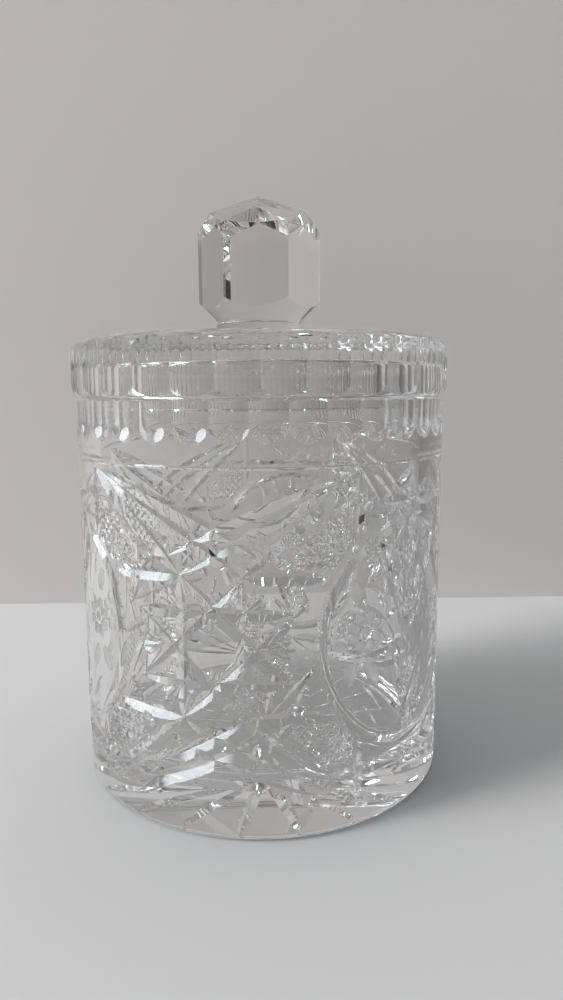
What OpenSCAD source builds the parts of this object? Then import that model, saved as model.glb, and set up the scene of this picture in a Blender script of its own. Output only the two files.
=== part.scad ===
// Cut-crystal biscuit barrel: a straight thick-walled jar, a fluted lid that lifts off and a six-sided knob.
// The jar stands on z = 0 with its axis on Z. The front of the jar faces -Y, and +X is to the right.

/* [Jar] */
// Outer radius of the jar's wall
jar_r = 64; // [60:0.5:70]
// Height of the rim above the table
jar_h = 131.5; // [127:0.5:145]
// Thickness of the wall at the rim
wall = 7; // [6:0.25:9]
// Thickness of the floor in the middle
floor_t = 12; // [9:0.5:16]
// Radius of the hollow's lower corner
inner_corner_r = 9; // [5:0.5:14]
// Rounding of the outer edge of the base
base_round = 3; // [1.5:0.25:4]
// Width of the bevel on the outer edge of the rim
rim_bevel = 2.2; // [1:0.1:3]
// Height of the bevel on the outer edge of the rim
rim_bevel_h = 1.1; // [0.5:0.1:2]

/* [Rim flutes] */
// Number of flutes below the rim
rim_flutes = 36; // [24:1:40]
// Length of a flute down from the rim
rim_flute_len = 12.5; // [10:0.5:16]
// Depth of a flute
rim_flute_deep = 1.6; // [0.8:0.1:2]
// Radius of the round-edged wheel that hollows a flute
rim_flute_wheel = 18; // [12:0.5:22]
// Turn of the flutes about the axis, in degrees
rim_flute_turn = 2; // [-6:0.5:6]

/* [Ring line] */
// Distance of the ring line below the rim
ring_line_down = 19; // [17:0.5:22]
// Width of the ring line
ring_line_w = 1; // [0.6:0.1:2]

/* [Cut band] */
// Number of repeats of the pattern around the jar
repeats = 3; // [2:1:3]
// Turn of the first panel from the front of the jar, in degrees
panel_turn = -13.5; // [-60:0.5:60]
// Height of the lowest points of the band above the table
band_foot = 9; // [8.5:0.5:13]
// Gap between the highest points of the band and the ring line
band_gap = 1; // [0.5:0.25:3]
// Depth of a mitre cut as a share of its half width
mitre_slope = 0.8; // [0.5:0.05:1]
// Sideways reach of the eight-pointed star from its middle
star_wide = 24; // [21:0.25:25]
// Upward reach of the eight-pointed star from its middle
star_tall = 21.6; // [19:0.2:23]
// Height of the star's level cuts from its middle
star_level = 10.6; // [9:0.2:12]
// Distance of the star's upright cuts from its middle
star_upright = 9.4; // [8:0.2:11]
// Width of the star's long cuts
star_w = 4.4; // [2:0.1:4.8]
// Distance of the side notches from the middle of the star
notch = 15.6; // [14:0.2:18]
// Width of the leaves beside the side notches
notch_w = 3.6; // [2:0.1:4]
// Distance of the fans' points from the middle of a medallion
fan_inset = 22.4; // [21:0.2:25]
// Width of a fan's mitre cuts
fan_w = 4.8; // [3:0.1:5.2]
// Sideways reach of a fan's highest cut past the middle of the panel
fan_past = 15; // [4:0.5:18]
// Height of that cut's end from the middle of the star
fan_past_level = 26.4; // [24:0.2:30]
// Bow of a fan's highest cut away from a straight line
fan_bow = 2.7; // [0:0.1:3.4]
// Width of the small rays
ray_w = 2.2; // [1.2:0.1:2.6]
// Length of the longest small rays
ray_len = 9; // [6:0.5:10]
// Angle between two small rays, in degrees
ray_spread = 18; // [12:0.5:24]
// Distance of the corner stars below the fans' points
corner_drop = 10.5; // [9:0.5:12]
// Distance between the lines of the cross-hatched patches
hatch_step = 4; // [3.5:0.25:6]
// Width of the lines of the cross-hatched patches
hatch_w = 1.8; // [1:0.1:2.5]

/* [Medallion] */
// Outer radius of the ring around a medallion
medal_r = 36.8; // [34:0.2:37.6]
// Width of the ring's groove
medal_w = 3.8; // [2.5:0.1:5]
// Width of the leaves in a medallion
leaf_w = 4.2; // [3:0.1:5.5]
// Length of the longest leaf of the lower spray
leaf_len = 24; // [18:0.5:26]

/* [Base star] */
// Number of rays of the star under the base
base_rays = 20; // [12:1:24]
// Width of a ray of the star under the base
base_ray_w = 3.6; // [2:0.2:5]
// Radius of the plain middle of the star
base_eye = 8; // [6:0.5:16]
// Width of the flat foot ring around the star
foot_w = 5; // [3:0.5:8]
// Turn of the star from the front of the jar, in degrees
base_turn = 1.5; // [-9:0.5:9]

/* [Lid] */
// Distance from the edge of the jar to the edge of the lid
lid_overhang = 1.2; // [0.5:0.1:2]
// Height of the lid from the rim to its flat top
lid_h = 19.3; // [16:0.1:24]
// Radius of the lid's rounded upper shoulder
lid_shoulder = 5; // [3:0.25:6]
// Radius of the lid's rounded lower edge
lid_lower_round = 4; // [2:0.25:5]
// Thickness of the lid's plate over the shallow hollow
lid_plate = 8.2; // [6:0.2:11]
// Gap between the locating flange and the mouth of the jar
flange_gap = 0.8; // [0.4:0.1:1.5]
// Depth of the locating flange below the rim
flange_drop = 3.5; // [2:0.25:6]
// Thickness of the locating flange
flange_t = 4.2; // [3:0.2:6]
// Radius of the corner in the lid's hollow
lid_inner_corner = 1.6; // [0.5:0.1:3]
// Number of flutes around the lid
lid_flutes = 32; // [24:2:36]
// Depth of a flute of the lid
lid_flute_deep = 1.05; // [0.5:0.05:1.5]
// Radius of the wheel that hollows a flute of the lid
lid_flute_wheel = 30; // [20:1:40]
// Radius of the round boss that carries the knob
boss_r = 15.3; // [14:0.1:18]
// Height of the boss above the lid's top
boss_h = 8; // [5:0.5:10]

/* [Knob] */
// Distance from the knob's axis to its upright edges
knob_r = 22; // [19:0.5:26]
// Height of the knob from the boss to its point
knob_h = 41.2; // [36:0.2:48]
// Radius of the round hollow between the knob's neck and its upright edges
knob_waist = 7.4; // [6:0.2:9]
// Radius of the knob's neck on the boss
neck_r = 14.7; // [13:0.1:15]
// Width of the steep tier of the crown
crown_w = 5.4; // [3:0.2:8]
// Slope of the steep tier of the crown, in degrees
crown_steep = 45; // [35:1:55]
// Slope of the flat tier of the crown, in degrees
crown_flat = 24; // [16:1:30]

/* [Hidden] */
eps = 0.01;
lift = 0.3;
mouth_r = jar_r - wall;
half_pitch = PI * jar_r / repeats;
ring_line_z = jar_h - ring_line_down;
band_top = ring_line_z - ring_line_w / 2 - band_gap;
band_z = (band_foot + band_top) / 2;
fan_z = band_top - band_z;
fan_x = half_pitch - fan_inset;
corner_z = fan_z - corner_drop;
star_points = [[star_wide, star_level], [star_upright, star_tall], [-star_upright, star_tall],
               [-star_wide, star_level], [-star_wide, -star_level], [-star_upright, -star_tall],
               [star_upright, -star_tall], [star_wide, -star_level]];
lid_r = jar_r + lid_overhang;
lid_top = jar_h + lid_h;
flange_r = mouth_r - flange_gap;
lid_hollow_r = flange_r - flange_t;
boss_top = lid_top + boss_h;
crown_edge_z = boss_top + knob_h - crown_w * tan(crown_steep) - (knob_r - crown_w) * tan(crown_flat);
ray_fade = 0.09;
wide_spread = ray_spread * 1.3;
close_spread = ray_spread * 0.6;
inner_ray_len = ray_len * 0.8;
point_ray_len = ray_len * 0.9;
side_leaf_x = (star_wide + star_upright) / 2 + 2;
side_leaf_rise = 6;
side_leaf_lean = 4;
side_leaf_gap = 0.5;
small_leaf_w = ray_w * 1.4;
hatch_edge = 1.6;
hatch_wide = 20;
hatch_fan_gap = 3;
belly_at = 0.6;
crystal = [0.86, 0.89, 0.9, 0.45];

// A point of the wall: u runs around it in millimetres, v up from the middle of the band, d into the glass.
function wall_point(u, v, d) =
    let (a = u / jar_r * 180 / PI, r = jar_r - d) [r * sin(a), -r * cos(a), band_z + v];

function polar(r, a) = [r * cos(a), r * sin(a)];

// Where station i of a cut lies along it, and how far it has opened there, both from 0 to 1.
function station(i, steps) = (1 - cos(180 * i / steps)) / 2;
function opening(i, steps) = 1 - pow(cos(180 * i / steps), 4);

// The three corners of a cut's V around the point c. Its sides end e away from c and rise above the wall.
function vee(c, e, deep, rise) =
    let (a = c + e, b = c - e)
    [wall_point(a.x, a.y, -rise), wall_point(c.x, c.y, deep), wall_point(b.x, b.y, -rise)];

// Two triangles of a cut's side between corner k of station i and the next corner and station.
function strip(i, k, count) =
    let (a = 3 * i, b = (a + 3) % count, n = (k + 1) % 3) [[a + k, a + n, b + n], [a + k, b + n, b + k]];

// A mitre cut: the groove that a V-edged wheel leaves along the wall from p to q, pointed at both ends.
// Its top rises above the wall by more than the wall bulges between two stations. A bow bends it to its left.
module mitre(p, q, width, steps = 4, bow = 0) {
    run = q - p;
    side = [-run.y, run.x] / norm(run);
    deep = width / 2 * mitre_slope;
    rise = lift + pow(norm(run) * sin(180 / steps) / 2, 2) / (8 * jar_r);
    over = run * station(1, steps) * rise / (deep * opening(1, steps));
    last = 3 * (steps - 1);
    rows = [for (i = [1 : steps - 1])
        let (part = station(i, steps), open = opening(i, steps),
             c = p + run * part + side * bow * 4 * part * (1 - part))
            vee(c, side * (width / 2 * open + rise / mitre_slope), deep * open, rise)];
    points = concat([for (row = rows, point = row) point],
                    [for (tip = [p - over, q + over]) wall_point(tip.x, tip.y, -rise)]);
    faces = concat([for (k = [0 : 2]) [last, (k + 1) % 3, k]],
                   [for (i = [0 : 1 : steps - 3], k = [0 : 2], side = strip(i, k, last)) side],
                   [for (k = [0 : 2]) [last + 1, last - 3 + k, last - 3 + (k + 1) % 3]]);
    polyhedron(points, faces);
}

// Small rays side by side from one root. The outer ones are shorter.
module ray_fan(root, direction, spread, count, reach) {
    middle = (count - 1) / 2;
    for (i = [0 : count - 1]) {
        angle = direction + spread * (i - middle);
        mitre(root, root + polar(reach * (1 - ray_fade * abs(i - middle)), angle), ray_w, 2);
    }
}

// The round groove around a medallion.
module ring_groove(centre, r, width, steps = 30) {
    deep = width / 2 * mitre_slope;
    half = width / 2 + lift / mitre_slope;
    rows = [for (i = [0 : steps - 1])
        let (a = 360 * i / steps) vee(centre + polar(r, a), polar(half, a), deep, lift)];
    sides = [for (i = [0 : steps - 1], k = [0 : 2], side = strip(i, k, 3 * steps)) side];
    polyhedron([for (row = rows, point = row) point], [for (side = sides) [side[0], side[2], side[1]]]);
}

// The eight long cuts of the star, each from a point to the third point on, and its two side notches.
module star_cuts() {
    count = len(star_points);
    for (k = [0 : count - 1])
        mitre(star_points[k], star_points[(k + 3) % count], star_w, 6);
    for (sx = [-1, 1], sz = [-1, 1])
        mitre([sx * star_wide, sz * star_level], [sx * notch, 0], notch_w, 3);
}

// Rays beside the star's notches, in its middle, in its four outer corners and at its four outer points.
// The last ones lie inside the star's upright cuts and are closer together.
module star_rays() {
    cross_z = star_tall - star_upright * (star_tall + star_level) / (star_wide + star_upright);
    for (side = [0, 180]) {
        ray_fan(polar(notch, side), side, ray_spread, 5, ray_len);
        ray_fan(polar(cross_z, side + 90), side - 90, wide_spread, 5, inner_ray_len);
    }
    for (sx = [-1, 1], sz = [-1, 1]) {
        ray_fan([sx * star_upright, sz * star_level], sz * (90 - sx * 45), ray_spread, 3, ray_len);
        ray_fan([sx * star_upright, sz * star_tall], -sz * (90 + sx * wide_spread), close_spread, 2,
                point_ray_len);
    }
}

// Four long cuts from each corner of the panel. The highest passes the middle, the next two end at the far
// star point and a third of the way back from it, and the last ends at the near star point. A cut's second
// value is its share of the highest one's bow.
module fan_cuts() {
    corner = [fan_x, fan_z];
    far = star_points[2];
    short = far + (corner - far) / 3;
    ends = [[[-fan_past, fan_past_level], 1], [far, 0.45], [short, 0.3], [star_points[1], 0.35]];
    for (sx = [-1, 1], sz = [-1, 1], end = ends)
        mitre([sx * corner.x, sz * corner.y], [sx * end[0].x, sz * end[0].y], fan_w, 6,
              -sx * sz * fan_bow * end[1]);
}

// Level leaves beside the star, and a small star in each corner whose long ray reaches the medallion's top.
module corner_cuts() {
    leaf_x = fan_x - corner_drop;
    for (sx = [-1, 1], sz = [-1, 1]) {
        mitre([sx * star_upright, sz * star_tall], [sx * leaf_x, sz * (star_tall - 1)], star_w, 4);
        mitre([sx * side_leaf_x, sz * (star_tall + side_leaf_rise)],
              [sx * star_wide, sz * (star_tall + side_leaf_gap)], small_leaf_w, 3);
        mitre([sx * star_wide, sz * star_tall],
              [sx * (star_wide + side_leaf_lean), sz * star_level], small_leaf_w, 3);
        mitre([sx * fan_x, sz * fan_z], [sx * fan_x, sz * (corner_z - ray_len)], small_leaf_w, 4);
        mitre([sx * (fan_x - ray_len), sz * corner_z], [sx * fan_x, sz * corner_z], small_leaf_w, 2);
        mitre([sx * fan_x, sz * corner_z], [sx * half_pitch, sz * corner_z], star_w, 4);
        mitre([sx * half_pitch, sz * corner_z],
              [sx * (half_pitch - ray_len), sz * (corner_z + ray_len * 0.7)], ray_w, 2);
    }
}

// The patch between a fan, a level leaf and the ring, crossed by upright and level lines.
module hatch_cuts() {
    low = star_tall + hatch_edge;
    high = corner_z - hatch_edge;
    near = fan_x - hatch_wide;
    slope = (fan_z - star_tall) / (fan_x - star_upright);
    for (sx = [-1, 1], sz = [-1, 1]) {
        for (u = [near : hatch_step : fan_x - hatch_fan_gap])
            let (ring = hatch_edge + sqrt(medal_r ^ 2 - min(medal_r, half_pitch - u) ^ 2),
                 fan = fan_z - hatch_fan_gap - slope * (fan_x - u))
                mitre([sx * u, sz * max(low, ring)], [sx * u, sz * min(high, fan)], hatch_w, 2);
        for (v = [low + hatch_step / 2 : hatch_step : high])
            let (fan = max(near, fan_x + hatch_fan_gap - (fan_z - v) / slope),
                 ring = min(fan_x - hatch_edge, half_pitch - hatch_edge - sqrt(medal_r ^ 2 - v ^ 2)))
                mitre([sx * fan, sz * v], [sx * ring, sz * v], hatch_w, 3);
    }
}

// The sides on which a leaf stands: one in the middle, a pair elsewhere.
function sides_of(lean) = lean == 0 ? [1] : [-1, 1];

// A medallion: a ring groove, a spray of leaves below and petals above. It lies halfway between two panels.
// A leaf is its lean in degrees and its share of the longest leaf. A petal is its lean and, as shares of the
// ring's radius, where it starts and ends.
module medallion() {
    leaves = [[0, 1], [9, 0.92], [21, 0.83], [45, 0.58]];
    petals = [[0, 0.52, 0.9], [14, 0.16, 0.57], [27, 0.4, 0.9]];
    centre = [half_pitch, 0];
    root = centre - [0, medal_r - medal_w - 1];
    ring_groove(centre, medal_r - medal_w / 2, medal_w);
    for (leaf = leaves, side = sides_of(leaf[0]))
        mitre(root, root + polar(leaf_len * leaf[1], 90 + side * leaf[0]), leaf_w * 0.7, 3);
    for (petal = petals, side = sides_of(petal[0]))
        let (out = polar(medal_r, 90 + side * petal[0]))
            mitre(centre + out * petal[1], centre + out * petal[2], leaf_w, 3);
}

module panel() {
    star_cuts();
    star_rays();
    fan_cuts();
    corner_cuts();
    hatch_cuts();
    medallion();
}

// One flute's cutter: a round-edged wheel's path, upright, with a round lower end at z = 0.
module flute_cutter(wheel, up) {
    rotate_extrude($fn = 72) {
        square([wheel, up]);
        intersection() {
            circle(wheel, $fn = 72);
            translate([0, -wheel]) square([wheel, wheel]);
        }
    }
}

// Every second flute, so that the two halves can be ground one after the other without touching one another.
module rim_flute_cuts(first) {
    run_out = sqrt(rim_flute_wheel ^ 2 - (rim_flute_wheel - rim_flute_deep) ^ 2);
    start = jar_h - rim_flute_len + run_out;
    for (k = [first : 2 : rim_flutes - 1])
        rotate(rim_flute_turn + 360 * k / rim_flutes)
            translate([0, -(jar_r + rim_flute_wheel - rim_flute_deep), start])
                flute_cutter(rim_flute_wheel, jar_h - start + 1);
}

// A star of pointed rays ground into the underside, inside the foot ring. A ray is widest past its middle.
module base_star() {
    outer = jar_r - base_round - foot_w;
    belly = base_eye + (outer - base_eye) * belly_at;
    half = base_ray_w / 2;
    for (k = [0 : base_rays - 1])
        rotate(-90 + base_turn + 360 * (k + 0.5) / base_rays)
            polyhedron([[base_eye, 0, 0], [belly, half, 0], [outer, 0, 0], [belly, -half, 0],
                        [belly, 0, half * mitre_slope], [belly, 0, -1]],
                       [for (k = [0 : 3], n = [(k + 1) % 4], face = [[k, n, 4], [n, k, 5]]) face]);
}

module jar_profile() {
    bevel_z = jar_h - rim_bevel_h;
    difference() {
        union() {
            translate([0, base_round]) square([jar_r, bevel_z - base_round]);
            square([jar_r - base_round, base_round + eps]);
            translate([jar_r - base_round, base_round]) circle(base_round, $fn = 64);
            polygon([[0, bevel_z - eps], [jar_r, bevel_z - eps], [jar_r, bevel_z],
                     [jar_r - rim_bevel, jar_h], [0, jar_h]]);
        }
        translate([-eps, floor_t]) square([mouth_r - inner_corner_r + eps, jar_h]);
        translate([-eps, floor_t + inner_corner_r]) square([mouth_r + eps, jar_h]);
        translate([mouth_r - inner_corner_r, floor_t + inner_corner_r]) circle(inner_corner_r, $fn = 64);
        translate([-2 * jar_r, -1]) square([2 * jar_r, jar_h + 2]);
    }
}

module ring_line_cut() {
    rotate_extrude($fn = 96)
        polygon([[jar_r - ring_line_w / 2, ring_line_z], [jar_r + 1, ring_line_z - ring_line_w / 2 - 1],
                 [jar_r + 1, ring_line_z + ring_line_w / 2 + 1]]);
}

module jar() {
    color(crystal)
    difference() {
        difference() {
            difference() {
                rotate_extrude($fn = 96) jar_profile();
                rim_flute_cuts(0);
                ring_line_cut();
            }
            rim_flute_cuts(1);
        }
        base_star();
        for (k = [0 : repeats - 1]) rotate(panel_turn + k * 360 / repeats) panel();
    }
}

module lid_profile() {
    low = jar_h + lid_lower_round;
    difference() {
        union() {
            translate([0, low]) square([lid_r, lid_top - lid_shoulder - low]);
            translate([0, jar_h]) square([lid_r - lid_lower_round, lid_h]);
            translate([lid_r - lid_lower_round, low]) circle(lid_lower_round, $fn = 64);
            translate([lid_r - lid_shoulder, lid_top - lid_shoulder]) circle(lid_shoulder, $fn = 64);
            translate([0, jar_h - flange_drop]) square([flange_r, flange_drop + eps]);
            translate([0, lid_top - eps]) square([boss_r, boss_h + eps]);
        }
        translate([-eps, jar_h - flange_drop - 1])
            square([lid_hollow_r - lid_inner_corner + eps, flange_drop + lid_h - lid_plate + 1]);
        translate([-eps, jar_h - flange_drop - 1])
            square([lid_hollow_r + eps, flange_drop + lid_h - lid_plate - lid_inner_corner + 1]);
        translate([lid_hollow_r - lid_inner_corner, lid_top - lid_plate - lid_inner_corner])
            circle(lid_inner_corner, $fn = 48);
        translate([-2 * jar_r, 0]) square([2 * jar_r, 2 * jar_h]);
    }
}

module lid() {
    color(crystal)
    difference() {
        rotate_extrude($fn = 96) lid_profile();
        for (k = [0 : lid_flutes - 1])
            rotate(360 * (k + 0.5) / lid_flutes)
                translate([0, -(lid_r + lid_flute_wheel - lid_flute_deep), jar_h - 1])
                    cylinder(r = lid_flute_wheel, h = lid_h + 2, $fn = 96);
    }
}

// Everything outside a slope that passes through a ring of radius r at height z, on the six corners.
module crown_cuts(r, z, slope) {
    size = 4 * knob_r;
    for (k = [0 : 5])
        rotate(60 * k)
            translate([r, 0, z]) rotate([0, slope, 0]) translate([-size / 2, -size / 2, 0]) cube(size);
}

module knob() {
    color(crystal)
    difference() {
        translate([0, 0, boss_top]) cylinder(r = knob_r, h = knob_h + 1, $fn = 6);
        crown_cuts(knob_r, crown_edge_z, crown_steep);
        crown_cuts(knob_r - crown_w, crown_edge_z + crown_w * tan(crown_steep), crown_flat);
        translate([0, 0, boss_top])
            rotate_extrude($fn = 96)
                translate([neck_r + knob_waist, 0]) circle(knob_waist, $fn = 64);
    }
}

jar();
lid();
knob();
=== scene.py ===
# %% [markdown]
# # A cut-crystal biscuit jar
# The real object is three blocks of clear lead crystal: a thick straight jar, a heavy lid that lifts off, and a
# six-sided knob that is cemented on the lid. Crystal has no colour of its own, so everything that the eye sees is
# shape: each facet bends or mirrors another part of the room. The lesson is therefore mostly about cutting clean,
# sharp geometry, and about giving the glass something to mirror.

# %% Load the fixed frame
import math

import bmesh
import bpy
from mathutils import Matrix, Vector


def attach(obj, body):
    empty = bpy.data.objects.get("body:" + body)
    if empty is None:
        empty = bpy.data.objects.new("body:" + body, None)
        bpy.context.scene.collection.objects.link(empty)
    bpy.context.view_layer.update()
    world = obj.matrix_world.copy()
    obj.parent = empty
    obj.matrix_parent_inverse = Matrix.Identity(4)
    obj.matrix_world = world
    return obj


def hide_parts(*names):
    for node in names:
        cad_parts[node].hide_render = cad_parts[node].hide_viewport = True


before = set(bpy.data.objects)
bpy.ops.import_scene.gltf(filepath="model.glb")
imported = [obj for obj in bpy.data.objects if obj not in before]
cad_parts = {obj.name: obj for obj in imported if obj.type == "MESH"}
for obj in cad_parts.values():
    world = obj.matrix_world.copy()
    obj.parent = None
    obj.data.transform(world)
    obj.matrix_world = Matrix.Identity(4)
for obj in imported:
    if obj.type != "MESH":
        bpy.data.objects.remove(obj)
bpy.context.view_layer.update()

# %% [markdown]
# ## The camera
# The photograph was taken with a phone a little above the lid, tilted down, close to the jar. A close camera makes
# the far side of the lid look smaller than the near side, so the distance matters as much as the lens. The place,
# the tilt and the lens were found by fitting the wall's two outlines, the base and the lid.

# %% Camera
PHOTO_SIZE = (563, 1000)
FOCAL_PIXELS = 720.0
SENSOR = 36.0
CAMERA_PLACE = Vector((0.0, -0.2613, 0.1338))
PITCH_DOWN, TURN_RIGHT, ROLL = 0.1508, 0.028, 0.006  # radians
NEAREST, FARTHEST = 0.01, 20.0


def make_camera():
    data = bpy.data.cameras.new("camera")
    data.sensor_width = SENSOR
    data.lens = FOCAL_PIXELS / max(PHOTO_SIZE) * SENSOR
    data.clip_start, data.clip_end = NEAREST, FARTHEST
    camera = bpy.data.objects.new("camera", data)
    turn = Matrix.Rotation(-TURN_RIGHT, 4, "Z") @ Matrix.Rotation(math.pi / 2 - PITCH_DOWN, 4, "X")
    camera.matrix_world = Matrix.Translation(CAMERA_PLACE) @ turn @ Matrix.Rotation(-ROLL, 4, "Z")
    bpy.context.scene.collection.objects.link(camera)
    bpy.context.scene.camera = camera
    return camera


camera = make_camera()
print("camera lens", round(camera.data.lens, 2), "mm")

# %% [markdown]
# ## Crystal
# Lead crystal bends light more than window glass: its index of refraction is about 1.55. The surface is polished,
# so its roughness is almost nothing, but hand polishing leaves it a little wavy, which a faint bump gives. Where the
# cutter only grinds and doesn't polish, as on the flowers, the glass stays frosted. Cycles could trace the light that
# lamps send through the facets, but that needs thousands of samples, so a shadow ray sees a pale clear filter
# instead, and every other ray sees real glass.

# %% Crystal material
CRYSTAL_IOR = 1.55
CRYSTAL_TINT = (0.908, 0.904, 0.9, 1.0)
LAMP_FILTER = (0.66, 0.68, 0.69, 1.0)
POLISHED = {"rough": 0.0, "wave_scale": 70, "wave_height": 0.000012}
FROSTED = {"rough": 0.3, "wave_scale": 1500, "wave_height": 0.00012}


def node_material(name):
    mat = bpy.data.materials.new(name)
    mat.use_nodes = True
    mat.node_tree.nodes.clear()
    return mat, mat.node_tree.nodes, mat.node_tree.links


def crystal(name, rough, wave_scale, wave_height):
    """Clear crystal with a roughness and a bump of waves: their number in a metre and their height in metres."""
    mat, nodes, links = node_material(name)
    out = nodes.new("ShaderNodeOutputMaterial")
    mix = nodes.new("ShaderNodeMixShader")
    path = nodes.new("ShaderNodeLightPath")
    clear = nodes.new("ShaderNodeBsdfTransparent")
    clear.inputs["Color"].default_value = LAMP_FILTER
    glass = nodes.new("ShaderNodeBsdfPrincipled")
    glass.inputs["Base Color"].default_value = CRYSTAL_TINT
    glass.inputs["Transmission Weight"].default_value = 1.0
    glass.inputs["IOR"].default_value = CRYSTAL_IOR
    glass.inputs["Roughness"].default_value = rough
    waves = nodes.new("ShaderNodeTexNoise")
    waves.inputs["Scale"].default_value = wave_scale
    waves.inputs["Detail"].default_value = 1.0
    bump = nodes.new("ShaderNodeBump")
    bump.inputs["Strength"].default_value = 1.0
    bump.inputs["Distance"].default_value = wave_height
    links.new(nodes.new("ShaderNodeTexCoord").outputs["Object"], waves.inputs["Vector"])
    links.new(waves.outputs["Fac"], bump.inputs["Height"])
    links.new(bump.outputs["Normal"], glass.inputs["Normal"])
    links.new(path.outputs["Is Shadow Ray"], mix.inputs["Fac"])
    links.new(glass.outputs["BSDF"], mix.inputs[1])
    links.new(clear.outputs["BSDF"], mix.inputs[2])
    links.new(mix.outputs["Shader"], out.inputs["Surface"])
    return mat


polished = crystal("polished_crystal", **POLISHED)
frosted = crystal("frosted_crystal", **FROSTED)
print("materials:", polished.name, frosted.name)

# %% [markdown]
# ## Turned bodies
# A glassmaker blows the jar into a turning mould, so its body is a surface of revolution. A drawn outline that spins
# around the axis gives it. The outline has only the points that the shape needs, and its round stretches are arcs.
# The many steps of the spin matter here: glass magnifies every flat facet of a coarse cylinder.

# %% Outline and spin helpers
MM = 0.001
SPIN_STEPS = 288
ARC_STEPS = 8
SAME_POINT = 1e-7


def arc(centre_r, centre_z, radius, start, end):
    """Points of an arc of an outline, in millimetres, from the angle start to the angle end in degrees."""
    angles = [math.radians(start + (end - start) * i / ARC_STEPS) for i in range(ARC_STEPS + 1)]
    return [(centre_r + radius * math.cos(a), centre_z + radius * math.sin(a)) for a in angles]


def spin_outline(bm, outline, closed=False):
    """Spins an outline of (radius, height) points in millimetres around the Z axis."""
    points = [bm.verts.new((r * MM, 0, z * MM)) for r, z in outline]
    lines = [bm.edges.new(pair) for pair in zip(points, points[1:])]
    if closed:
        lines.append(bm.edges.new((points[-1], points[0])))
    bmesh.ops.spin(bm, geom=points + lines, cent=(0, 0, 0), axis=(0, 0, 1), angle=math.tau, steps=SPIN_STEPS,
                   use_merge=True)
    bmesh.ops.remove_doubles(bm, verts=bm.verts, dist=SAME_POINT)
    bmesh.ops.recalc_face_normals(bm, faces=bm.faces)


def finished_mesh(bm, name):
    """Makes a mesh of bm with its faces outwards. A curved sliver can fool the operator, but not its volume."""
    bmesh.ops.recalc_face_normals(bm, faces=bm.faces)
    if bm.calc_volume(signed=True) < 0:
        bmesh.ops.reverse_faces(bm, faces=bm.faces)
    mesh = bpy.data.meshes.new(name)
    bm.to_mesh(mesh)
    bm.free()
    return mesh


def turned(name, outline, closed=False):
    """The mesh of a turned body. A closed outline is a ring's section that doesn't touch the axis."""
    bm = bmesh.new()
    spin_outline(bm, outline, closed)
    return finished_mesh(bm, name)


print("an arc has", len(arc(0, 0, 1, 0, 90)), "points")

# %% [markdown]
# ## Cutting
# A cutter holds the glass against a turning wheel, and the wheel takes a shape away. A boolean difference does the
# same. All the wheel's paths of one job lie in one collection, so that one modifier takes them away together.
# A boolean leaves slivers, and normals averaged over slivers would blur the glass. So each surface first writes its
# own clean normals on its corners. The boolean carries them along, and the ground mesh takes them as its normals.

# %% Grinding helper
CREASE = math.radians(20)
TRUE_NORMAL = "true_normal"
GROUND = "ground_finish"


def remember_normals(mesh, sign):
    """Writes the mesh's smooth normals on its corners, turned round by a sign of -1 on a cutter."""
    mesh.polygons.foreach_set("use_smooth", [True] * len(mesh.polygons))
    mesh.set_sharp_from_angle(angle=CREASE)
    normals = [sign * part for corner in mesh.corner_normals for part in corner.vector]
    mesh.attributes.new(TRUE_NORMAL, "FLOAT_VECTOR", "CORNER").data.foreach_set("vector", normals)


def recall_normals(mesh):
    """Takes the normals written on the corners as the mesh's own."""
    normals = [corner.vector.normalized() for corner in mesh.attributes[TRUE_NORMAL].data]
    mesh.attributes.remove(mesh.attributes[TRUE_NORMAL])
    for name in ("sharp_edge", "sharp_face"):
        if name in mesh.attributes:
            mesh.attributes.remove(mesh.attributes[name])
    mesh.polygons.foreach_set("use_smooth", [True] * len(mesh.polygons))
    mesh.normals_split_custom_set(normals)


def grind(name, mesh, cutters):
    """Takes the meshes in cutters away from mesh and returns the ground mesh."""
    remember_normals(mesh, 1)
    work = bpy.data.objects.new(name, mesh)
    bpy.context.scene.collection.objects.link(work)
    bench = bpy.data.collections.new(name + "_cutters")
    tools = [bpy.data.objects.new(f"{name}_cutter_{i}", cutter) for i, cutter in enumerate(cutters)]
    for tool in tools:
        bench.objects.link(tool)
    cut = work.modifiers.new("cut", "BOOLEAN")
    cut.operation = "DIFFERENCE"
    cut.operand_type = "COLLECTION"
    cut.collection = bench
    cut.solver = "MANIFOLD"
    ready = work.evaluated_get(bpy.context.evaluated_depsgraph_get())
    ground = bpy.data.meshes.new_from_object(ready)
    for tool in tools:
        bpy.data.objects.remove(tool)
    bpy.data.collections.remove(bench)
    bpy.data.objects.remove(work)
    ground.name = name
    recall_normals(ground)
    return ground


def show(name, mesh, material, body, node):
    """Makes the object of a finished mesh and puts it in the frame in place of its CAD node."""
    mesh.materials.clear()
    mesh.materials.append(material)
    if GROUND in mesh.attributes:
        mesh.materials.append(frosted)
        finish = [item.value for item in mesh.attributes[GROUND].data]
        mesh.attributes.remove(mesh.attributes[GROUND])
        mesh.polygons.foreach_set("material_index", finish)
        print(name, sum(finish), "frosted faces")
    piece = bpy.data.objects.new(name, mesh)
    bpy.context.scene.collection.objects.link(piece)
    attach(piece, body)
    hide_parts(node)
    mesh.calc_loop_triangles()
    print(name, len(mesh.polygons), "faces,", len(mesh.loop_triangles), "triangles")
    return piece


def turn_round(bm, degrees):
    """Turns what stands at the front about the jar's axis, and brings it from millimetres to metres."""
    turn = Matrix.Rotation(math.radians(degrees), 4, "Z")
    bmesh.ops.transform(bm, verts=bm.verts, matrix=turn @ Matrix.Scale(MM, 4))


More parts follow.
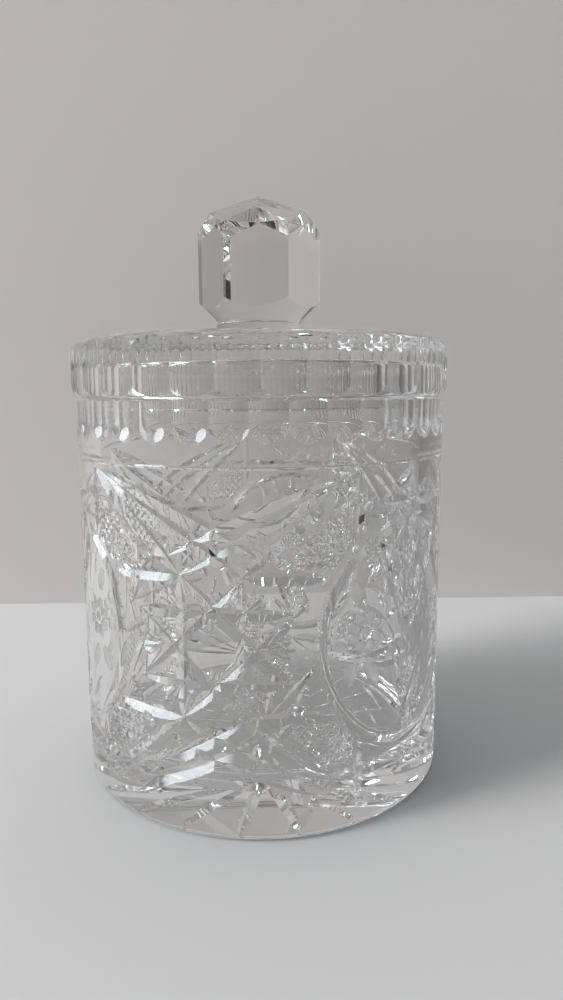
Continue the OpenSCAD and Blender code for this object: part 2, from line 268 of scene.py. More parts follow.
def cutter_mesh(bm, name, ground=False):
    """The mesh of a cutter. It leaves a frosted surface where ground is true, and a polished one elsewhere."""
    mesh = finished_mesh(bm, name)
    remember_normals(mesh, -1)
    if ground:
        mesh.attributes.new(GROUND, "INT", "FACE").data.foreach_set("value", [1] * len(mesh.polygons))
    return mesh


# %% [markdown]
# ## The jar's body
# A straight wall, a thick floor with a wide round corner inside, and a rim with a small bevel outside.

# %% The jar's blank
JAR_R, JAR_H = 64.0, 131.5
WALL, FLOOR = 7.0, 12.0
MOUTH_R = JAR_R - WALL
INNER_CORNER, BASE_ROUND = 9.0, 3.0
RIM_BEVEL, RIM_BEVEL_H, MOUTH_ROUND = 2.2, 1.1, 0.8

jar_outline = (
    [(0, 0)]
    + arc(JAR_R - BASE_ROUND, BASE_ROUND, BASE_ROUND, -90, 0)
    + [(JAR_R, JAR_H - RIM_BEVEL_H), (JAR_R - RIM_BEVEL, JAR_H)]
    + arc(MOUTH_R + MOUTH_ROUND, JAR_H - MOUTH_ROUND, MOUTH_ROUND, 90, 180)
    + arc(MOUTH_R - INNER_CORNER, FLOOR + INNER_CORNER, INNER_CORNER, 0, -90)
    + [(0, FLOOR)]
)
jar_blank = turned("jar_blank", jar_outline)
print("jar blank:", len(jar_blank.polygons), "faces")

# %% [markdown]
# ## Rim flutes
# Under the rim a wheel with a round edge was plunged into the wall thirty-six times. Each plunge leaves a hollow flute
# with a round lower end. The wheel's path is a sphere whose upper half is drawn up past the rim. A line is turned into
# the wall below the flutes.

# %% Rim flutes and ring line
RIM_FLUTES, FLUTE_LEN, FLUTE_DEEP, FLUTE_WHEEL, FLUTE_TURN = 36, 12.5, 2.0, 12.5, 2.0
RING_LINE_DOWN, RING_LINE_W = 19.0, 1.0
WHEEL_STEPS = 120


def rim_flute(index):
    run_out = math.sqrt(FLUTE_WHEEL ** 2 - (FLUTE_WHEEL - FLUTE_DEEP) ** 2)
    low = JAR_H - FLUTE_LEN + run_out
    bm = bmesh.new()
    bmesh.ops.create_uvsphere(bm, u_segments=WHEEL_STEPS, v_segments=WHEEL_STEPS // 2, radius=FLUTE_WHEEL)
    upper = [v for v in bm.verts if v.co.z > 0.01]
    bmesh.ops.translate(bm, verts=upper, vec=(0, 0, JAR_H))
    bmesh.ops.translate(bm, verts=bm.verts, vec=(0, -(JAR_R + FLUTE_WHEEL - FLUTE_DEEP), low))
    turn_round(bm, FLUTE_TURN + 360 * index / RIM_FLUTES)
    return cutter_mesh(bm, "rim_flute")


RING_LINE_Z = JAR_H - RING_LINE_DOWN
ring_line = turned("ring_line", [(JAR_R - RING_LINE_W / 2, RING_LINE_Z),
                                 (JAR_R + 1, RING_LINE_Z - RING_LINE_W / 2 - 1),
                                 (JAR_R + 1, RING_LINE_Z + RING_LINE_W / 2 + 1)], closed=True)
remember_normals(ring_line, -1)
rim_cutters = [rim_flute(k) for k in range(RIM_FLUTES)] + [ring_line]
print(len(rim_cutters), "cutters at the rim")

# %% [markdown]
# ## Drawing on the wall
# The pattern is drawn flat, as the cutter marks it on the glass: u runs around the wall, v up from the middle of the
# band, and d into the glass. One function bends that plane onto the cylinder, so every cut is made flat first.

# %% The flat plane and the mitre cut
BAND_FOOT, BAND_GAP = 9.0, 1.0
BAND_TOP = RING_LINE_Z - RING_LINE_W / 2 - BAND_GAP
BAND_Z = (BAND_FOOT + BAND_TOP) / 2
MITRE_SLOPE = 0.7
LIFT = 0.3


def on_wall(u, v, d):
    """Bends a point of the flat plane, in millimetres, onto the wall, in metres."""
    angle, radius = u / JAR_R, JAR_R - d
    return Vector((radius * math.sin(angle), -radius * math.cos(angle), BAND_Z + v)) * MM


def mitre(p, q, width, stations=10, bow=0.0):
    """The groove that a V-edged wheel leaves from p to q, pointed at both ends. A bow bends it to its left."""
    p, q = Vector(p), Vector(q)
    run, middle = q - p, (p + q) / 2
    side = Vector((-run.y, run.x)) / run.length
    rise = LIFT + (run.length * math.sin(math.pi / stations) / 2) ** 2 / (8 * JAR_R)
    first = math.cos(math.pi / stations)
    first_deep = width / 2 * MITRE_SLOPE * (1 - first ** 4)
    tip = 1 + (1 - first) * rise / first_deep
    bm = bmesh.new()
    bmesh.ops.create_uvsphere(bm, u_segments=4, v_segments=stations, radius=1)
    for vert in bm.verts:
        along, ring = vert.co.z, Vector((vert.co.x, vert.co.y))
        half = width / 2 * (1 - along ** 4) + rise / MITRE_SLOPE
        if ring.length < 1e-4:
            spot, depth = middle + run / 2 * along * tip, -rise
        else:
            ring.normalize()
            spot = middle + run / 2 * along + side * (ring.x * half + bow * (1 - along ** 2))
            depth = ring.y * half * MITRE_SLOPE - rise
        vert.co = on_wall(spot.x, spot.y, depth)
    return cutter_mesh(bm, "mitre")


print("the band is", round(BAND_TOP - BAND_FOOT, 1), "mm high")

# %% [markdown]
# ## The eight-pointed star
# Each panel has an eight-pointed star in its middle. Its long cuts run from a point to the third point on, so they
# weave an octagon in the middle and leave kites and diamonds between them. Small rays fill the gaps.

# %% Star
HALF_PITCH = math.pi * JAR_R / 3
STAR_WIDE, STAR_TALL, STAR_LEVEL, STAR_UPRIGHT, STAR_W = 24.0, 21.6, 10.6, 9.4, 4.4
NOTCH, NOTCH_W, RAY_W, RAY_LEN, RAY_SPREAD = 15.6, 3.6, 2.2, 9.0, 18.0
RAY_FADE, WIDE_SPREAD, CLOSE_SPREAD = 0.09, RAY_SPREAD * 1.3, RAY_SPREAD * 0.6
SIGNS = [(sx, sz) for sx in (-1, 1) for sz in (-1, 1)]
STAR = [(sx * x, sz * z) for sx, sz, x, z in (
    (1, 1, STAR_WIDE, STAR_LEVEL), (1, 1, STAR_UPRIGHT, STAR_TALL),
    (-1, 1, STAR_UPRIGHT, STAR_TALL), (-1, 1, STAR_WIDE, STAR_LEVEL),
    (-1, -1, STAR_WIDE, STAR_LEVEL), (-1, -1, STAR_UPRIGHT, STAR_TALL),
    (1, -1, STAR_UPRIGHT, STAR_TALL), (1, -1, STAR_WIDE, STAR_LEVEL))]


def polar(radius, angle):
    """The flat vector with a length and an angle in degrees."""
    return Vector((radius * math.cos(math.radians(angle)), radius * math.sin(math.radians(angle))))


def ray_fan(root, direction, spread, count, reach):
    """Small rays side by side from one root. The outer ones are shorter."""
    middle = (count - 1) / 2
    for i in range(count):
        shorter = 1 - RAY_FADE * abs(i - middle)
        tip = Vector(root) + polar(reach * shorter, direction + spread * (i - middle))
        yield mitre(root, tip, RAY_W, 6)


def star_cuts():
    for k, point in enumerate(STAR):
        yield mitre(point, STAR[(k + 3) % len(STAR)], STAR_W, 14)
    for sx, sz in SIGNS:
        yield mitre((sx * STAR_WIDE, sz * STAR_LEVEL), (sx * NOTCH, 0), NOTCH_W, 8)


def star_rays():
    cross = STAR_TALL - STAR_UPRIGHT * (STAR_TALL + STAR_LEVEL) / (STAR_WIDE + STAR_UPRIGHT)
    for side in (0, 180):
        yield from ray_fan(polar(NOTCH, side), side, RAY_SPREAD, 5, RAY_LEN)
        yield from ray_fan(polar(cross, side + 90), side - 90, WIDE_SPREAD, 5, RAY_LEN * 0.8)
    for sx, sz in SIGNS:
        lean = -sz * (90 + sx * WIDE_SPREAD)
        yield from ray_fan((sx * STAR_UPRIGHT, sz * STAR_LEVEL), sz * (90 - sx * 45), RAY_SPREAD, 3, RAY_LEN)
        yield from ray_fan((sx * STAR_UPRIGHT, sz * STAR_TALL), lean, CLOSE_SPREAD, 2, RAY_LEN * 0.9)


panel = [*star_cuts(), *star_rays()]
print("cuts in a star:", len(panel))

# %% [markdown]
# ## Fans and corners
# Four long leaves sweep down from each upper corner of the panel, and four rise from each lower corner. The highest
# is bowed and passes the middle, so the two fans cross. The others end at and behind the star's points. Beside them
# lie level leaves and a small star in each corner.

# %% Fans and corners
FAN_INSET, FAN_W, CORNER_DROP = 22.4, 4.8, 10.5
FAN_PAST, FAN_PAST_LEVEL, FAN_BOW = 15.0, 26.4, 2.7
FAN_X, FAN_Z = HALF_PITCH - FAN_INSET, BAND_TOP - BAND_Z
CORNER_Z = FAN_Z - CORNER_DROP


def fan_cuts():
    corner, far = Vector((FAN_X, FAN_Z)), Vector(STAR[2])
    short = far + (corner - far) / 3
    ends = [((-FAN_PAST, FAN_PAST_LEVEL), 1), (far, 0.45), (short, 0.3), (STAR[1], 0.35)]
    for sx, sz in SIGNS:
        for (x, z), share in ends:
            yield mitre((sx * FAN_X, sz * FAN_Z), (sx * x, sz * z), FAN_W, 16, -sx * sz * FAN_BOW * share)


def corner_cuts():
    leaf_x, leaf_w, side_x = FAN_X - CORNER_DROP, RAY_W * 1.4, (STAR_WIDE + STAR_UPRIGHT) / 2 + 2
    lines = [((STAR_UPRIGHT, STAR_TALL), (leaf_x, STAR_TALL - 1), STAR_W),
             ((side_x, STAR_TALL + 6), (STAR_WIDE, STAR_TALL + 0.5), leaf_w),
             ((STAR_WIDE, STAR_TALL), (STAR_WIDE + 4, STAR_LEVEL), leaf_w),
             ((FAN_X, FAN_Z), (FAN_X, CORNER_Z - RAY_LEN), leaf_w),
             ((FAN_X - RAY_LEN, CORNER_Z), (FAN_X, CORNER_Z), leaf_w),
             ((FAN_X, CORNER_Z), (HALF_PITCH, CORNER_Z), STAR_W),
             ((HALF_PITCH, CORNER_Z), (HALF_PITCH - RAY_LEN, CORNER_Z + RAY_LEN * 0.7), RAY_W)]
    for sx, sz in SIGNS:
        for (x0, z0), (x1, z1), width in lines:
            yield mitre((sx * x0, sz * z0), (sx * x1, sz * z1), width, 10)


panel += [*fan_cuts(), *corner_cuts()]
print("cuts in a panel so far:", len(panel))

# %% [markdown]
# ## Cross-hatched patches
# Between a fan, a level leaf and the ring of the medallion lies a patch of tiny squares, each with a small star in
# it. Rows of fine cuts in four directions make such a field. A row is drawn as a whole line, and a helper keeps only
# its stretches inside the patch. The same helper fills the small triangles beside the octagon with finer rows.

# %% Hatching
MEDAL_R, MEDAL_W = 36.8, 3.8
MEDAL_AT = Vector((HALF_PITCH, 0))
HATCH_STEP, HATCH_W, HATCH_EDGE, HATCH_WIDE, HATCH_FAN_GAP = 3.07, 1.4, 1.6, 20.0, 3.0
FINE_STEP, FINE_W, FINE_SIDE = 1.1, 0.8, 5.0
LINE_REACH, LINES = 99.0, 40


def stretches(point, along, sides, hole_at, hole_r):
    """The parts of a line that lie on the inner side of every (normal, limit) and outside a round hole."""
    start, end = -LINE_REACH, LINE_REACH
    for normal, limit in sides:
        rate, gap = along.dot(normal), limit - point.dot(normal)
        if rate > 1e-6:
            end = min(end, gap / rate)
        elif rate < -1e-6:
            start = max(start, gap / rate)
        elif gap < 0:
            return
    middle = (hole_at - point).dot(along)
    half = math.sqrt(max(0.0, hole_r ** 2 - (hole_at - point).length_squared + middle ** 2))
    for a, b in ((start, min(end, middle - half)), (max(start, middle + half), end)):
        if b - a > HATCH_EDGE:
            yield point + along * a, point + along * b


def rows(origin, angles, step, sides, hole_at, hole_r):
    """Lines in several directions through the crossings of a square grid, cut to a patch."""
    for angle in angles:
        along, across = polar(1, angle), polar(1, angle + 90)
        pitch = step * max(abs(along.x), abs(along.y))
        for i in range(-LINES, LINES + 1):
            yield from stretches(origin + across * (pitch * i), along, sides, hole_at, hole_r)


def patch_rows():
    """The rows of a patch and of a fine triangle in one quarter of the panel, with their widths."""
    low, high, near = STAR_TALL + HATCH_EDGE, CORNER_Z - HATCH_EDGE, FAN_X - HATCH_WIDE
    fan = Vector((STAR_TALL - FAN_Z, FAN_X - STAR_UPRIGHT)).normalized()
    under_fan = fan.dot(Vector((FAN_X, FAN_Z - HATCH_FAN_GAP)))
    sides = [(Vector((0, -1)), -low), (Vector((0, 1)), high), (Vector((-1, 0)), -near),
             (Vector((1, 0)), FAN_X - HATCH_EDGE), (fan, under_fan)]
    origin = Vector((near, low + HATCH_STEP / 2))
    for line in rows(origin, (0, 45, 90, 135), HATCH_STEP, sides, MEDAL_AT, MEDAL_R + HATCH_EDGE):
        yield line, HATCH_W
    left, top = STAR_UPRIGHT + STAR_W / 2, STAR_LEVEL - STAR_W / 2
    slant = polar(1, -45)
    sides = [(Vector((-1, 0)), -left), (Vector((0, 1)), top), (slant, slant.dot(Vector((left, top - FINE_SIDE))))]
    for line in rows(Vector((left, top)), (0, 90), FINE_STEP, sides, MEDAL_AT, MEDAL_R):
        yield line, FINE_W


def hatch_cuts():
    lines = list(patch_rows())
    for sx, sz in SIGNS:
        for (p, q), width in lines:
            yield mitre((sx * p.x, sz * p.y), (sx * q.x, sz * q.y), width, 6)


panel += hatch_cuts()
print("cuts in a panel so far:", len(panel))

# %% [markdown]
# ## Medallions
# Between two panels a round groove frames a spray of leaves. The groove is a ring with a four-sided section, bent
# onto the wall like the other cuts. Its leaves are the same mitre cuts, and short ribs lie across the outer ones.

# %% Medallion
LEAF_W, LEAF_LEN = 4.2, 24.0
LEAVES = [(0, 1), (9, 0.92), (21, 0.83), (45, 0.58)]
PETALS = [(0, 0.52, 0.9), (14, 0.16, 0.57), (27, 0.4, 0.9)]
STEM_W, RIB_W, RIBS = 1.3, 0.9, 7
ROOT = MEDAL_AT - Vector((0, MEDAL_R - MEDAL_W - 1))


def ring_groove(centre, radius, width):
    half = width / 2 + LIFT / MITRE_SLOPE
    bm = bmesh.new()
    section = bmesh.ops.create_circle(bm, segments=4, radius=half)["verts"]
    bmesh.ops.scale(bm, verts=section, vec=(1, MITRE_SLOPE, 1))
    bmesh.ops.rotate(bm, verts=section, matrix=Matrix.Rotation(math.pi / 2, 3, "X"))
    bmesh.ops.translate(bm, verts=section, vec=(radius, 0, -LIFT))
    bmesh.ops.spin(bm, geom=bm.verts[:] + bm.edges[:], cent=(0, 0, 0), axis=(0, 0, 1), angle=math.tau, steps=96,
                   use_merge=True)
    for vert in bm.verts:
        vert.co = on_wall(centre.x + vert.co.x, centre.y + vert.co.y, vert.co.z)
    return cutter_mesh(bm, "ring_groove")


def sides_of(lean):
    return (1,) if lean == 0 else (-1, 1)


def ribs(start, end, width):
    """Short cuts side by side across the outer half of a leaf, like a comb."""
    run = end - start
    side = Vector((-run.y, run.x)).normalized() * width / 2
    for i in range(RIBS):
        middle = start + run * (0.5 + 0.45 * i / RIBS)
        yield mitre(middle - side * 0.6, middle + side * 1.1 + run * 0.12, RIB_W, 6)


def medallion():
    yield ring_groove(MEDAL_AT, MEDAL_R - MEDAL_W / 2, MEDAL_W)
    for lean, share in LEAVES:
        for side in sides_of(lean):
            yield mitre(ROOT, ROOT + polar(LEAF_LEN * share, 90 + side * lean), LEAF_W * 0.7, 10)
    for lean, start, end in PETALS:
        for side in sides_of(lean):
            out = polar(MEDAL_R, 90 + side * lean)
            yield mitre(MEDAL_AT + out * start, MEDAL_AT + out * end, LEAF_W, 10)
            yield mitre(MEDAL_AT, MEDAL_AT + out * start, STEM_W, 10, side * lean * 0.05)
    for side in (-1, 1):
        out = polar(MEDAL_R, 90 + 27 * side)
        yield from ribs(MEDAL_AT + out * 0.4, MEDAL_AT + out * 0.9, LEAF_W)
        yield mitre(MEDAL_AT + Vector((side * 6, 23)), MEDAL_AT + Vector((side * 9, 32)), RAY_W, 8)


panel += medallion()
print("cuts in a panel so far:", len(panel))

# %% [markdown]
# ## Frosted flowers
# On both sides of the spray stands a plain flower that is ground and not polished. A petal is a shallow dent, the
# print of a small round stone. Its cutter is a flat ellipsoid, and its faces carry a mark that gives them the frosted
# finish.

# %% Flowers
FLOWER_AT, FLOWER_R, FLOWER_PETALS, DENT_DEEP = (20.0, 2.5), 7.2, 8, 0.55
EYE_W, PETAL_W, BLADE_W = 3.4, 3.6, 4.2
BLADES = [(-2.5, -13.5, 9.5, 60), (5.5, -12.5, 8.5, 120), (3.5, 13, 8, 70)]  # place, length, angle


def dent(centre, length, width, angle):
    bm = bmesh.new()
    bmesh.ops.create_uvsphere(bm, u_segments=24, v_segments=12, radius=1)
    bmesh.ops.scale(bm, verts=bm.verts, vec=(length / 2, width / 2, DENT_DEEP))
    bmesh.ops.rotate(bm, verts=bm.verts, matrix=Matrix.Rotation(math.radians(angle), 3, "Z"))
    for vert in bm.verts:
        vert.co = on_wall(centre.x + vert.co.x, centre.y + vert.co.y, vert.co.z)
    return cutter_mesh(bm, "dent", ground=True)


def flower(centre):
    yield dent(centre, EYE_W, EYE_W, 0)
    for k in range(FLOWER_PETALS):
        angle = 360 * (k + 0.5) / FLOWER_PETALS
        yield dent(centre + polar(FLOWER_R * 0.66, angle), FLOWER_R * 0.62, PETAL_W, angle)


def flowers():
    for side in (-1, 1):
        centre = MEDAL_AT + Vector((side * FLOWER_AT[0], FLOWER_AT[1]))
        yield from flower(centre)
        for x, y, length, angle in BLADES:
            yield dent(centre + Vector((side * x, y)), length, BLADE_W, side * angle)


panel += flowers()
print("cuts in a whole repeat:", len(panel))

# %% [markdown]
# ## Base star
# The underside has a star of pointed rays inside its foot ring, so that light scatters where the jar stands.

# %% Base star
BASE_RAYS, BASE_RAY_W, BASE_EYE, FOOT_W, BASE_TURN = 20, 3.6, 8.0, 5.0, 1.5


def base_ray(index):
    outer = JAR_R - BASE_ROUND - FOOT_W
    middle, half_len = (BASE_EYE + outer) / 2, (outer - BASE_EYE) / 2
    bm = bmesh.new()
    bmesh.ops.create_uvsphere(bm, u_segments=4, v_segments=12, radius=1)
    bmesh.ops.rotate(bm, verts=bm.verts, matrix=Matrix.Rotation(math.pi / 2, 3, "Y"))
    bmesh.ops.scale(bm, verts=bm.verts, vec=(half_len, BASE_RAY_W / 2, BASE_RAY_W / 2 * MITRE_SLOPE))
    bmesh.ops.translate(bm, verts=bm.verts, vec=(middle, 0, 0))
    turn_round(bm, BASE_TURN - 90 + 360 * (index + 0.5) / BASE_RAYS)
    return cutter_mesh(bm, "base_ray")


base_cutters = [base_ray(k) for k in range(BASE_RAYS)]
print("rays under the base:", len(base_cutters))

# %% [markdown]
# ## Grinding the jar
# The pattern repeats three times around the jar, so each cutter is copied and turned by a third of a turn.

# %% The ground jar
REPEATS, PANEL_TURN = 3, -13.5


def turned_copy(mesh, degrees):
    """A cutter turned about the jar's axis, with the normals on its corners turned too."""
    turn = Matrix.Rotation(math.radians(degrees), 4, "Z")
    copy = mesh.copy()
    copy.transform(turn)
    for corner in copy.attributes[TRUE_NORMAL].data:
        corner.vector = turn.to_3x3() @ corner.vector
    return copy


pattern = [turned_copy(cutter, PANEL_TURN + 360 * k / REPEATS) for k in range(REPEATS) for cutter in panel]
jar_mesh = grind("jar_glass", jar_blank, rim_cutters + base_cutters + pattern)
show("jar_glass", jar_mesh, polished, "jar", "jar")

# %% [markdown]
# ## The lid
# The lid is turned as well: a flange that drops into the mouth, a hollow underside, a round shoulder and a boss for
# the knob. Thirty-two flutes were ground around its edge with a flat wheel. It cuts into both rounded edges, so each
# flute shows as an arc above and below.

# %% Lid
LID_OVERHANG, LID_H, LID_SHOULDER, LID_LOWER, LID_PLATE = 1.19, 19.3, 5.0, 4.0, 8.2
FLANGE_GAP, FLANGE_DROP, FLANGE_T, FLANGE_BEVEL, HOLLOW_CORNER = 0.8, 3.5, 4.2, 0.5, 1.6
LID_FLUTES, LID_FLUTE_DEEP, LID_FLUTE_WHEEL = 32, 1.6, 17.0
BOSS_R, BOSS_H = 15.3, 5.8
SEAT_GAP = 0.1
LID_R, LID_TOP = JAR_R + LID_OVERHANG, JAR_H + LID_H
FLANGE_R = MOUTH_R - FLANGE_GAP
HOLLOW_R = FLANGE_R - FLANGE_T
FLANGE_Z = JAR_H - FLANGE_DROP
BOSS_TOP = LID_TOP + BOSS_H

lid_outline = (
    [(0, LID_TOP - LID_PLATE)]
    + arc(HOLLOW_R - HOLLOW_CORNER, LID_TOP - LID_PLATE - HOLLOW_CORNER, HOLLOW_CORNER, 90, 0)
    + [(HOLLOW_R, FLANGE_Z + FLANGE_BEVEL), (HOLLOW_R + FLANGE_BEVEL, FLANGE_Z),
       (FLANGE_R - FLANGE_BEVEL, FLANGE_Z), (FLANGE_R, FLANGE_Z + FLANGE_BEVEL), (FLANGE_R, JAR_H + SEAT_GAP)]
    + arc(LID_R - LID_LOWER, JAR_H + LID_LOWER, LID_LOWER - SEAT_GAP, -90, 0)[:-1]
    + [(LID_R, JAR_H + LID_LOWER)]
    + arc(LID_R - LID_SHOULDER, LID_TOP - LID_SHOULDER, LID_SHOULDER, 0, 90)
    + [(BOSS_R, LID_TOP), (BOSS_R, BOSS_TOP), (0, BOSS_TOP)]
)


def lid_flute(index):
    bm = bmesh.new()
    bmesh.ops.create_cone(bm, cap_ends=True, segments=2 * WHEEL_STEPS, radius1=LID_FLUTE_WHEEL,
                          radius2=LID_FLUTE_WHEEL, depth=LID_H + 4)
    centre = LID_R + LID_FLUTE_WHEEL - LID_FLUTE_DEEP
    bmesh.ops.translate(bm, verts=bm.verts, vec=(0, -centre, JAR_H + LID_H / 2))
    turn_round(bm, 360 * (index + 0.5) / LID_FLUTES)
    return cutter_mesh(bm, "lid_flute")


lid_mesh = grind("lid_glass", turned("lid_blank", lid_outline), [lid_flute(k) for k in range(LID_FLUTES)])
show("lid_glass", lid_mesh, polished, "lid", "lid")

# %% [markdown]
# ## The knob
# The knob starts as a six-sided bar. A cutter grinds twelve flat facets on its crown, two on each upright edge, and
# a cone below them that leaves the neck, so each upright face ends in a round tongue. Each flat facet is a plane that
# cuts the bar, and the open hole is closed with one face. The knob was cemented on a little out of line with the
# pattern, which shows as an uneven pair of dark stripes inside it.

# %% Knob
KNOB_R, KNOB_TOP, KNOB_SIDES, KNOB_TURN = 21.3, 199.99, 6, -3.5
NECK_R, NECK_UP, NECK_ROUND = 14.4, 0.2, 1.5
CROWN_W, CROWN_STEEP, CROWN_FLAT = 5.6, 41.0, 25.0
KNOB_H = KNOB_TOP - BOSS_TOP
CROWN_RISE = CROWN_W * math.tan(math.radians(CROWN_STEEP))
CROWN_EDGE_Z = KNOB_TOP - CROWN_RISE - (KNOB_R - CROWN_W) * math.tan(math.radians(CROWN_FLAT))


def facet(bm, angle, radius, height, slope):
    """Cuts everything outside a plane through (radius, height) that leans by slope from the level."""
    lean = math.radians(slope)
    normal = Matrix.Rotation(math.radians(angle), 3, "Z") @ Vector((math.sin(lean), 0, math.cos(lean)))
    place = Matrix.Rotation(math.radians(angle), 3, "Z") @ Vector((radius, 0, height))
    bmesh.ops.bisect_plane(bm, geom=bm.verts[:] + bm.edges[:] + bm.faces[:], plane_co=place, plane_no=normal,
                           clear_outer=True)
    rim = [e for e in bm.edges if e.is_boundary]
    bmesh.ops.contextual_create(bm, geom=rim)


def knob_blank():
    bm = bmesh.new()
    bmesh.ops.create_cone(bm, cap_ends=True, segments=KNOB_SIDES, radius1=KNOB_R, radius2=KNOB_R, depth=KNOB_H + 2)
    bmesh.ops.rotate(bm, verts=bm.verts, matrix=Matrix.Rotation(math.pi / 2, 3, "Z"))
    bmesh.ops.translate(bm, verts=bm.verts, vec=(0, 0, BOSS_TOP + KNOB_H / 2 + 1))
    for k in range(KNOB_SIDES):
        facet(bm, 360 * k / KNOB_SIDES, KNOB_R, CROWN_EDGE_Z, CROWN_STEEP)
        facet(bm, 360 * k / KNOB_SIDES, KNOB_R - CROWN_W, CROWN_EDGE_Z + CROWN_RISE, CROWN_FLAT)
    turn_round(bm, KNOB_TURN)
    return finished_mesh(bm, "knob_blank")


def neck_cutter():
    """Everything outside the neck: it rises upright from the boss and then widens evenly to the knob's faces."""
    bend = arc(NECK_R + NECK_ROUND, BOSS_TOP + NECK_UP, NECK_ROUND, 180, 135)
    reach = KNOB_R + 2 - bend[-1][0]
    edge = [(NECK_R, BOSS_TOP - 1)] + bend + [(bend[-1][0] + reach, bend[-1][1] + reach), (KNOB_R + 2, BOSS_TOP - 1)]
    mesh = turned("neck_cutter", edge, closed=True)
    remember_normals(mesh, -1)
    return mesh


knob_mesh = grind("knob_glass", knob_blank(), [neck_cutter()])
show("knob_glass", knob_mesh, polished, "lid", "knob")

# %% [markdown]
# ## Table, wall and light
# The jar stands on a pale table close in front of a pale wall. The camera sees both with their real shadows. The
# glass sees a share of a plain glowing tone with painted light on it, bright on the left and dim on the right, as a
# room with its window on the left would light it, so that the many bent rays stay clean and the cuts still have a
# lighter and a darker side.

# %% Node helpers
def math_node(nodes, links, kind, *values):
    node = nodes.new("ShaderNodeMath")
    node.operation = kind
    for socket, value in zip(node.inputs, values):
        if isinstance(value, (int, float)):
            socket.default_value = value
        else:
            links.new(value, socket)
    return node.outputs[0]


def mixed(nodes, links, share, first, second):
    mix = nodes.new("ShaderNodeMixShader")
    links.new(share, mix.inputs["Fac"])
    links.new(first, mix.inputs[1])
    links.new(second, mix.inputs[2])
    return mix.outputs["Shader"]


print("node helpers:", math_node.__name__, mixed.__name__)

# %% Stage
WALL_Y = 0.189
STAGE_REACH = 2.5
TABLE_Z = -0.0001
TABLE_PAINT, TABLE_TONE = (0.735, 0.725, 0.72, 1.0), (0.58, 0.575, 0.57, 1.0)
WALL_PAINT, WALL_TONE = (0.715, 0.685, 0.67, 1.0), (0.475, 0.46, 0.45, 1.0)
# painted light on the glow seen by the glass: its strength fades from LIT_LEVEL at LIT_X to DIM_LEVEL at DIM_X
LIT_X, LIT_LEVEL, DIM_X, DIM_LEVEL = -0.35, 1.4, 0.42, 0.2
TABLE_SHARE, WALL_SHARE = 0.5, 0.6
PAINT_ROUGH = 0.7


def painted_side_light(nodes, links):
    """Painted light on the stage's glow: bright on the left and dim on the right, as a window on the left would make
    it.
    """
    where = nodes.new("ShaderNodeSeparateXYZ")
    links.new(nodes.new("ShaderNodeTexCoord").outputs["Object"], where.inputs["Vector"])
    fade = nodes.new("ShaderNodeMapRange")
    fade.interpolation_type = "SMOOTHSTEP"
    fade.inputs["From Min"].default_value, fade.inputs["From Max"].default_value = LIT_X, DIM_X
    fade.inputs["To Min"].default_value, fade.inputs["To Max"].default_value = LIT_LEVEL, DIM_LEVEL
    links.new(where.outputs["X"], fade.inputs["Value"])
    return fade.outputs["Result"]


def plain_sheet(name, paint_colour, tone, share, one_sided=False):
    """A painted sheet. The camera sees it with its shadows, and the glass shows a share of its tone, glowing with
    painted light.
    """
    bm = bmesh.new()
    bmesh.ops.create_grid(bm, x_segments=1, y_segments=1, size=STAGE_REACH)
    mesh = bpy.data.meshes.new(name)
    bm.to_mesh(mesh)
    bm.free()
    sheet = bpy.data.objects.new(name, mesh)
    bpy.context.scene.collection.objects.link(sheet)
    mat, nodes, links = node_material(name)
    out = nodes.new("ShaderNodeOutputMaterial")
    paint = nodes.new("ShaderNodeBsdfPrincipled")
    paint.inputs["Base Color"].default_value = paint_colour
    paint.inputs["Roughness"].default_value = PAINT_ROUGH
    glow = nodes.new("ShaderNodeEmission")
    glow.inputs["Color"].default_value = tone
    # painted light: the glow's strength fades from bright on the left to dim on the right
    links.new(painted_side_light(nodes, links), glow.inputs["Strength"])
    path = nodes.new("ShaderNodeLightPath")
    mirrored = math_node(nodes, links, "MAXIMUM", path.outputs["Is Glossy Ray"], path.outputs["Is Transmission Ray"])
    mirrored = math_node(nodes, links, "MULTIPLY", mirrored, share)
    surface = mixed(nodes, links, mirrored, paint.outputs["BSDF"], glow.outputs["Emission"])
    if one_sided:
        back = nodes.new("ShaderNodeNewGeometry").outputs["Backfacing"]
        surface = mixed(nodes, links, back, surface, nodes.new("ShaderNodeBsdfTransparent").outputs["BSDF"])
    links.new(surface, out.inputs["Surface"])
    mesh.materials.append(mat)
    return sheet


table = plain_sheet("table", TABLE_PAINT, TABLE_TONE, TABLE_SHARE)
table.data.transform(Matrix.Translation((0, 0, TABLE_Z)))
wall = plain_sheet("wall", WALL_PAINT, WALL_TONE, WALL_SHARE, one_sided=True)
wall.data.transform(Matrix.Translation((0, WALL_Y, STAGE_REACH + TABLE_Z)) @ Matrix.Rotation(math.pi / 2, 4, "X"))
print("stage:", table.name, wall.name)

# %% [markdown]
# ## The room
# A window on the left lights the table and the wall softly, and its low light throws the long shadow to the right. A
# lamp with a soft edge does that. What the facets mirror is painted on the world: a dark brownish room, a grey ceiling
# and a small, strong, bluish window in its glow. A facet mirrors only a twentieth of what it sees, so white glints
# need a window far brighter than white. The camera itself sees a plain grey behind the stage.

# %% Lamp
LAMP_PLACE, LAMP_SIZE, LAMP_POWER = Vector((-3.9, -1.5, 2.4)), 1.5, 140.0  # metres, metres, watts


def make_lamp():
    data = bpy.data.lights.new("window_light", "AREA")
    data.shape, data.size, data.energy = "DISK", LAMP_SIZE, LAMP_POWER
    lamp = bpy.data.objects.new("window_light", data)
    lamp.matrix_world = Matrix.Translation(LAMP_PLACE) @ LAMP_PLACE.to_track_quat("Z", "Y").to_matrix().to_4x4()
    lamp.visible_glossy = lamp.visible_transmission = lamp.visible_camera = False
    bpy.context.scene.collection.objects.link(lamp)
    return lamp


print("lamp:", make_lamp().name)

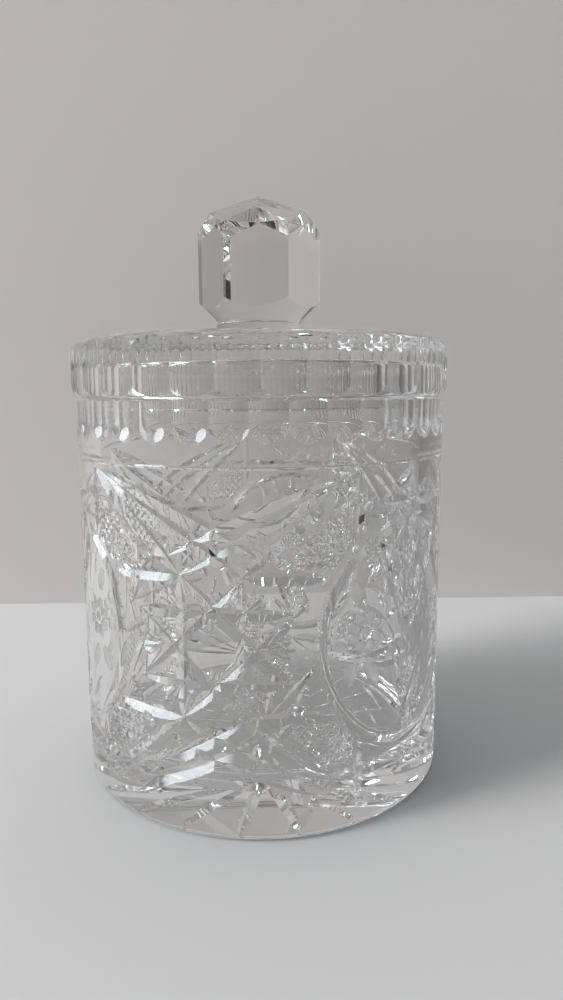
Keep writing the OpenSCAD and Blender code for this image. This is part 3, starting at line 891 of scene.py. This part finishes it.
# %% Room
BACKGROUND = (0.44, 0.43, 0.425)
ROOM = (0.04, 0.034, 0.028)
WINDOW = (-0.868, -0.2, 0.454)
PATCHES = [  # direction, half width and soft edge in degrees, and the light's colour there
    ((0.0, 0.1, 1.0), 40, 30, (0.22, 0.22, 0.22)),
    (WINDOW, 28, 14, (0.37, 0.38, 0.39)),
    (WINDOW, 12, 4, (8.6, 9.2, 9.7)),
]


def patch(nodes, links, direction, centre, half, soft):
    """1 inside a round patch of the sky round the direction centre, 0 outside."""
    dot = nodes.new("ShaderNodeVectorMath")
    dot.operation = "DOT_PRODUCT"
    links.new(direction, dot.inputs[0])
    dot.inputs[1].default_value = Vector(centre).normalized()
    edge = nodes.new("ShaderNodeMapRange")
    edge.interpolation_type = "SMOOTHSTEP"
    edge.inputs["From Min"].default_value = math.cos(math.radians(half + soft))
    edge.inputs["From Max"].default_value = math.cos(math.radians(half))
    links.new(dot.outputs["Value"], edge.inputs["Value"])
    return edge.outputs["Result"]


def make_room():
    world = bpy.data.worlds.new("room")
    world.use_nodes = True
    nodes, links = world.node_tree.nodes, world.node_tree.links
    nodes.clear()
    where = nodes.new("ShaderNodeTexCoord").outputs["Generated"]
    room = nodes.new("ShaderNodeBackground")
    room.inputs["Color"].default_value = (*ROOM, 1.0)
    surface = room.outputs["Background"]
    for centre, half, soft, colour in PATCHES:
        spot = nodes.new("ShaderNodeBackground")
        spot.inputs["Color"].default_value = (*colour, 1.0)
        surface = mixed(nodes, links, patch(nodes, links, where, centre, half, soft), surface,
                        spot.outputs["Background"])
    seen = nodes.new("ShaderNodeBackground")
    seen.inputs["Color"].default_value = (*BACKGROUND, 1.0)
    surface = mixed(nodes, links, nodes.new("ShaderNodeLightPath").outputs["Is Camera Ray"], surface,
                    seen.outputs["Background"])
    links.new(surface, nodes.new("ShaderNodeOutputWorld").inputs["Surface"])
    bpy.context.scene.world = world


make_room()
print("room patches:", len(PATCHES))

# %% [markdown]
# ## Light paths
# A ray crosses many facets before it leaves the glass, so it gets many bounces. Caustics stay off, since the shadow
# filter takes their place.

# %% Light paths
BOUNCES, GLOSSY_BOUNCES = 32, 24
scene = bpy.context.scene
scene.view_settings.view_transform = "Standard"
scene.cycles.max_bounces = scene.cycles.transmission_bounces = scene.cycles.transparent_max_bounces = BOUNCES
scene.cycles.glossy_bounces = GLOSSY_BOUNCES
scene.cycles.caustics_refractive = scene.cycles.caustics_reflective = False
print("bounces:", BOUNCES)
